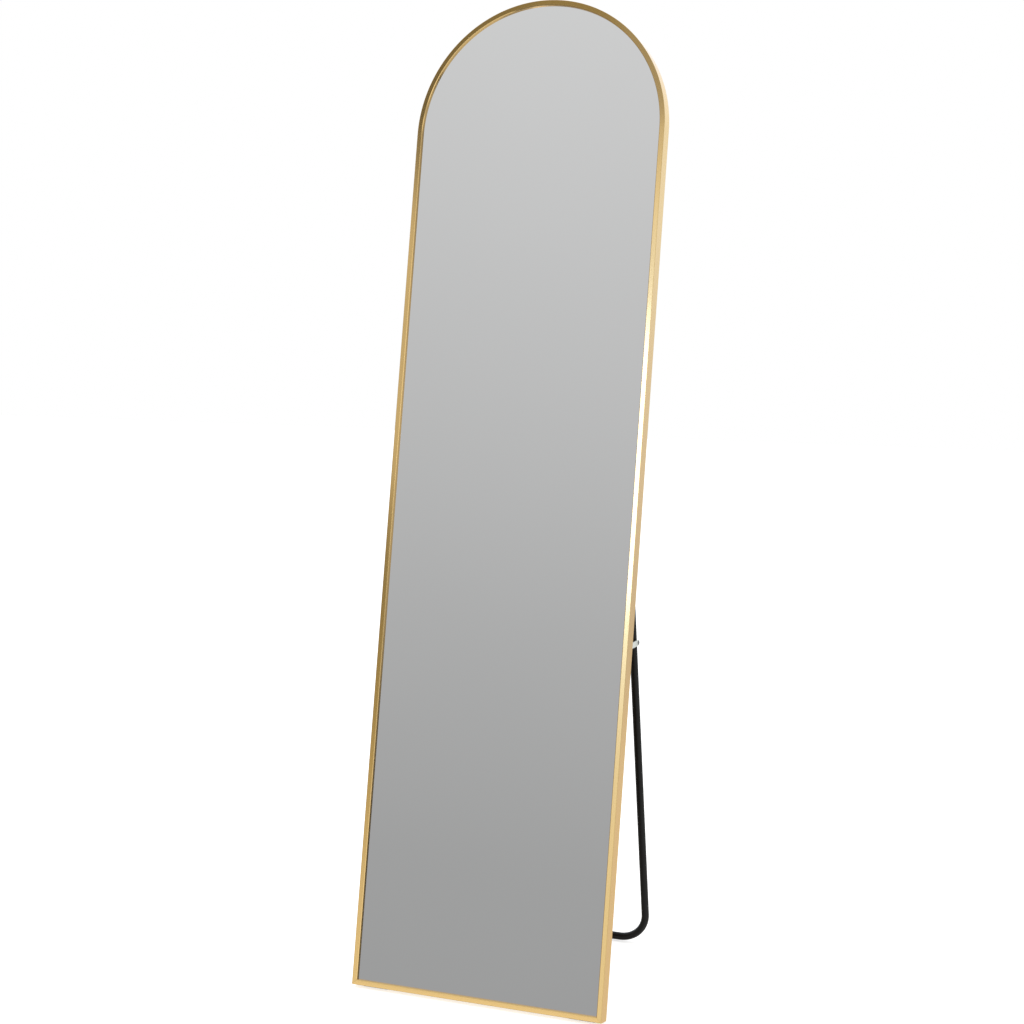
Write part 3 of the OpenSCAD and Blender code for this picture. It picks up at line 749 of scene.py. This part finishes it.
rivet_steel = finish(
    "grey rivet steel", ((0.17, 0.17, 0.165), (0.30, 0.30, 0.29)), (0.30, 0.42),
    grain=(900, 900, 900), metallic=1.0, relief=0.00001,
)
riveting = lathe_tree("turned rivet", rivet_steel)
RIVET_R, RIVET_HEAD_R, RIVET_HEAD_T, FACE_EDGE = 2 * MM, 3 * MM, 0.9 * MM, 0.15 * MM
LINK_T, PLAY, LINK_LEN = 1.5 * MM, 0.15 * MM, 69.377 * MM
LEG_LINK_X, FRAME_LINK_X = 157.2 * MM, 161.1 * MM
EAR_X, EAR_T, ELBOW_X, ELBOW_GAP = 162.75 * MM, 2 * MM, 159.9 * MM, 0.15 * MM
STAY_DROP, LINK_TURN = 405 * MM, math.radians(80.1365)
frame_rivet_axis = leaning @ Matrix.Translation((0, HINGE_DEPTH, STAY_HEIGHT))
leg_rivet_axis = on_leg @ Matrix.Translation((0, 0, -STAY_DROP))
on_frame_link = frame_rivet_axis @ Matrix.Rotation(math.pi / 2 - LINK_TURN, 4, "X")
on_leg_link = leg_rivet_axis @ Matrix.Rotation(LINK_TURN - math.pi / 2, 4, "X")
leg_head_x = LEG_LINK_X + LINK_T + PLAY
shoulder = (LEG_X + TUBE_R + STEP, LEG_LINK_X - PLAY, RIVET_HEAD_R)
outer_head, outer_face = FRAME_LINK_X + LINK_T, ELBOW_X + ELBOW_GAP
inner_collar, inner_face = LEG_LINK_X + LINK_T, ELBOW_X - ELBOW_GAP

for side in ("left", "right"):
    line = headed(FRAME_LINK_X - PLAY, EAR_X + EAR_T, RIVET_R, RIVET_HEAD_R, RIVET_HEAD_T)
    mesh = on_side(side, frame_rivet_axis, riveting, line)
    fasten("domed_frame_rivet", side, mesh, "mirror", "frame_rivet")
    line = headed(LEG_X - TUBE_R, leg_head_x, RIVET_R, RIVET_HEAD_R, RIVET_HEAD_T, [shoulder])
    mesh = on_side(side, leg_rivet_axis, riveting, line)
    fasten("domed_leg_rivet", side, mesh, "stand", "leg_rivet")
    line = lathe_line([
        (outer_face, RIVET_HEAD_R * RIM_START), (outer_face + FACE_EDGE, RIVET_HEAD_R),
        (FRAME_LINK_X - STEP, RIVET_HEAD_R), (FRAME_LINK_X, RIVET_R), (outer_head - STEP, RIVET_R),
    ] + dome(outer_head, outer_head + RIVET_HEAD_T, RIVET_HEAD_R))
    elbow = on_frame_link @ Matrix.Translation((0, LINK_LEN, 0))
    mesh = on_side(side, elbow, riveting, line)
    fasten("elbow_rivet_outer", side, mesh, "frame_link_" + side, "elbow_pin")
    line = lathe_line([
        (LEG_LINK_X - (h - LEG_LINK_X), r)
        for h, r in reversed(dome(LEG_LINK_X, LEG_LINK_X + RIVET_HEAD_T, RIVET_HEAD_R))
    ] + [
        (LEG_LINK_X + STEP, RIVET_R), (inner_collar - STEP, RIVET_R), (inner_collar, RIVET_HEAD_R),
        (inner_face - FACE_EDGE, RIVET_HEAD_R), (inner_face, RIVET_HEAD_R * RIM_START),
    ])
    elbow = on_leg_link @ Matrix.Translation((0, -LINK_LEN, 0))
    mesh = on_side(side, elbow, riveting, line)
    fasten("elbow_rivet_inner", side, mesh, "leg_link_" + side, "elbow_collar")

# Rubber feet
# Black rubber: a wedge-shaped pad under each end of the bottom rail, and a sleeve with a flat
# sole on each half of the crossbar, so that neither metal edge touches the floor.

rubber = finish(
    "black rubber", ((0.018, 0.018, 0.018), (0.035, 0.035, 0.034)), (0.68, 0.85),
    grain=(1200, 1200, 1200), relief=0.00008,
)
MOULDED_EDGE = 0.3 * MM
FEET = (("rail_foot_", "mirror", "rubber_wedge_"), ("stand_foot_", "stand", "rubber_sleeve_"))
for side in ("left", "right"):
    for node, body, name in FEET:
        pad = eased(node + side, MOULDED_EDGE, name + side, rubber)
        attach(pad, body)
        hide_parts(node + side)

# Studio
# A plain pale floor under soft light. The room that the metal and the glass mirror is pale
# behind the object. In front of it are grey, white and dark walls and one tall soft lamp.

FLOOR_REACH, FLOOR_LIFT, ROOM_LIGHT = 9, 0.62, 0.8
floor_mesh = bpy.data.meshes.new("floor")
floor_mesh.from_pydata([
    (x * FLOOR_REACH, y * FLOOR_REACH, 0) for x, y in ((-1, -1), (1, -1), (1, 1), (-1, 1))
], [], [(0, 1, 2, 3)])
floor = placed("floor", floor_mesh)
floor.visible_glossy = False
pale = bpy.data.materials.new("pale floor")
pale.use_nodes = True
ground = pale.node_tree
ground.nodes.remove(ground.nodes["Principled BSDF"])
matt = add(ground, "ShaderNodeBsdfDiffuse", {"Color": (0.86, 0.86, 0.86, 1)})
lift = add(ground, "ShaderNodeEmission", {"Color": (1, 1, 1, 1), "Strength": FLOOR_LIFT})
seen = add(ground, "ShaderNodeLightPath").outputs["Is Camera Ray"]
lifted = add(ground, "ShaderNodeMixShader", {0: seen, 2: lift})
both = add(ground, "ShaderNodeAddShader", {0: matt, 1: lifted})
ground.links.new(both.outputs[0], ground.nodes["Material Output"].inputs["Surface"])
floor_mesh.materials.append(pale)

world = bpy.data.worlds.new("studio")
bpy.context.scene.world = world
world.use_nodes = True
sky = world.node_tree
sky.nodes.clear()
way = add(sky, "ShaderNodeSeparateXYZ", {0: add(sky, "ShaderNodeTexCoord").outputs["Generated"]})
RADIAN = 180 / math.pi
elevation = calc(sky, "MULTIPLY", calc(sky, "ARCSINE", way.outputs["Z"]), RADIAN)
forward = calc(sky, "MULTIPLY", way.outputs["Y"], -1)
sideways = calc(sky, "ARCTAN2", way.outputs["X"], forward)
turned_from_front = calc(sky, "MULTIPLY", sideways, RADIAN)
RAMP_LOW, RAMP_HIGH = -60.0, 60.0


def grades(levels):
    """Light over elevation: (degrees, grey level or colour) pairs from low to high."""
    share = add(sky, "ShaderNodeMapRange", {
        "Value": elevation, "From Min": RAMP_LOW, "From Max": RAMP_HIGH,
    })
    ramp = add(sky, "ShaderNodeValToRGB", {0: share})
    stops = ramp.color_ramp.elements
    while len(stops) < len(levels):
        stops.new(0.5)
    for stop, (degrees, level) in zip(stops, levels):
        stop.position = (degrees - RAMP_LOW) / (RAMP_HIGH - RAMP_LOW)
        stop.color = (*level, 1) if isinstance(level, tuple) else (level, level, level, 1)
    return ramp.outputs[0]


def brown(level):
    """A warm brown grey."""
    return (level, 0.92 * level, 0.62 * level)


def cool(level):
    """A grey with a trace of blue."""
    return (level, 1.06 * level, 1.18 * level)


def icy(level):
    """The blue white of bright daylight."""
    return (level, 1.22 * level, 1.78 * level)


def past(low, high, value):
    """0 below low and 1 above high, with a soft step between them."""
    return add(sky, "ShaderNodeMapRange", {
        "Value": value, "From Min": low, "From Max": high,
    }, interpolation_type="SMOOTHSTEP").outputs[0]


# The walls in front, from the far left to the far right
far_left = grades([
    (-60, brown(0.25)), (-20, brown(0.30)), (-8, 0.37), (2.6, 0.386), (9.8, 0.459), (17, 0.554),
    (27.8, 0.673), (60, 0.70),
])
left_wall = grades([
    (-60, 0.20), (-50, 0.22), (-30, 1.06), (-1.5, 1.08), (1.5, 0.90), (3.2, brown(0.66)),
    (5, brown(0.48)), (6.7, brown(0.43)), (8.5, brown(0.35)), (10.6, brown(0.25)),
    (11.6, brown(0.36)), (12.6, 0.82), (13.8, 0.90), (16, 0.76), (17.5, 0.74), (20.9, 1.03),
    (21.7, brown(0.13)), (28.5, brown(0.19)), (31, brown(0.24)), (34, brown(0.27)),
    (60, brown(0.27)),
])
card = grades([
    (-60, 0.20), (-40, 0.50), (-20, 1.25), (-8.8, 1.25), (-7.4, 0.45), (-2, 0.366), (2.6, 0.386),
    (9.8, 0.459), (17, 0.554), (27.8, 0.673), (31, 0.70), (33, brown(0.36)), (60, brown(0.36)),
])
right_wall = grades([
    (-60, 0.20), (-48, 0.25), (-35, 0.45), (-14, 0.45), (-11, 1.06), (5, cool(1.10)),
    (7.2, cool(1.07)), (9, icy(1.34)), (10.6, icy(1.36)), (19.5, icy(1.25)), (21.3, icy(0.94)),
    (23.3, 1.40), (25, 0.77), (27.5, 0.48), (60, 0.50),
])
middle = grades([
    (-60, 0.95), (-40, 0.90), (-30, 0.80), (-13, 0.80), (-8, 0.45), (2.6, 0.40), (9.8, 0.46),
    (17, 0.554), (27.8, 0.673), (60, 0.70),
])
inner_wall = grades([
    (-60, 0.95), (-40, 0.90), (-30, 0.80), (-13, 0.80), (-4.5, 0.75), (-3, 0.37), (-1, 0.046),
    (4.3, 0.018), (7.2, 0.083), (9.5, 0.40), (13, 0.62), (15.4, 0.70), (18.9, 0.60), (21.5, 0.44),
    (27, 0.28), (60, 0.28),
])
arch_wall = grades([
    (-60, 0.95), (-40, 0.90), (-13, 0.80), (0, 0.72), (12, 0.60), (22, 0.44), (27, 0.28),
    (60, 0.28),
])
far_right = grades([
    (-60, 0.95), (-18, 0.95), (-5.7, 1.30), (-2.7, 1.25), (-1, 1.05), (0.8, 0.85), (2.5, 0.68),
    (4.8, 0.56), (6.1, 0.58), (7.8, 0.92), (9.6, 1.30), (11.3, 1.20), (14.8, 1.15), (16.6, 1.0),
    (18.4, 0.55), (60, 0.40),
])
behind = grades([
    (-60, 0.90), (-21, (0.90, 0.88, 0.82)), (-14.5, (0.90, 0.90, 0.88)), (-11, (0.74, 0.76, 0.81)),
    (-7, (0.86, 0.91, 1.03)), (-3, (0.93, 1.01, 1.14)), (1, (1.05, 1.18, 1.34)),
    (8, (1.14, 1.28, 1.44)), (60, (1.2, 1.3, 1.4)),
])
# Each next wall: where it starts and where it is whole, in degrees to the right of the front
starts = (
    (-45, -40.5, left_wall), (-30.5, -29, card), (-18, -16.5, right_wall), (-6, -1.5, middle),
    (20, 22.5, inner_wall), (28, 29.2, arch_wall), (42, 50, far_right),
)
front = far_left
for low, high, wall in starts:
    front = blended(sky, past(low, high, turned_from_front), front, wall)
# The room behind starts a little in front of the plane of the mirror
mirrored = blended(sky, past(-0.15, 0.25, way.outputs["Y"]), front, behind)
rays = add(sky, "ShaderNodeLightPath")
plain = add(sky, "ShaderNodeBackground", {"Color": (1, 1, 1, 1), "Strength": ROOM_LIGHT})
studio = add(sky, "ShaderNodeBackground", {"Color": mirrored})
white = add(sky, "ShaderNodeBackground", {"Color": (1, 1, 1, 1), "Strength": 1.0})
seen_through = calc(
    sky, "MAXIMUM", rays.outputs["Is Camera Ray"], rays.outputs["Is Transmission Ray"],
)
light = add(sky, "ShaderNodeMixShader", {0: rays.outputs["Is Glossy Ray"], 1: plain, 2: studio})
light = add(sky, "ShaderNodeMixShader", {0: seen_through, 1: light, 2: white})
add(sky, "ShaderNodeOutputWorld", {"Surface": light})


def soft_lamp(name, place, aim, width, height, watts, colour=(1, 1, 1)):
    """A rectangular soft lamp at a place, turned to a point."""
    lamp = bpy.data.lights.new(name, "AREA")
    lamp.shape = "RECTANGLE"
    lamp.color = colour
    lamp.size, lamp.size_y, lamp.energy = width, height, watts
    obj = placed(name, lamp)
    obj.location = place
    obj.rotation_euler = (Vector(aim) - Vector(place)).to_track_quat("-Z", "Y").to_euler()
    return obj


soft_lamp("tall soft lamp", place=(-0.49, -3.84, 1.87), aim=(0.2, -0.05, 0.85), width=0.36,
          height=0.97, watts=6, colour=(0.44, 0.55, 1))
overhead = soft_lamp("overhead lamp", place=(-1.2, -0.6, 3.6), aim=(0, 0, 0.6), width=2.2,
                     height=2.2, watts=40)
overhead.visible_glossy = False

# Camera
# The photograph's view, from the right and a little above the middle of the mirror. Its place,
# turn and lens come from the outlines of the frame and the stand in the photograph.

camera = placed("camera", bpy.data.cameras.new("camera"))
camera.data.lens = 67.56
camera.data.sensor_width = 36
camera.location = (1.09830, -2.65531, 1.07335)
camera.rotation_euler = (math.radians(82.83), 0, math.radians(22.70))
bpy.context.scene.camera = camera
bpy.context.scene.view_settings.view_transform = "Standard"
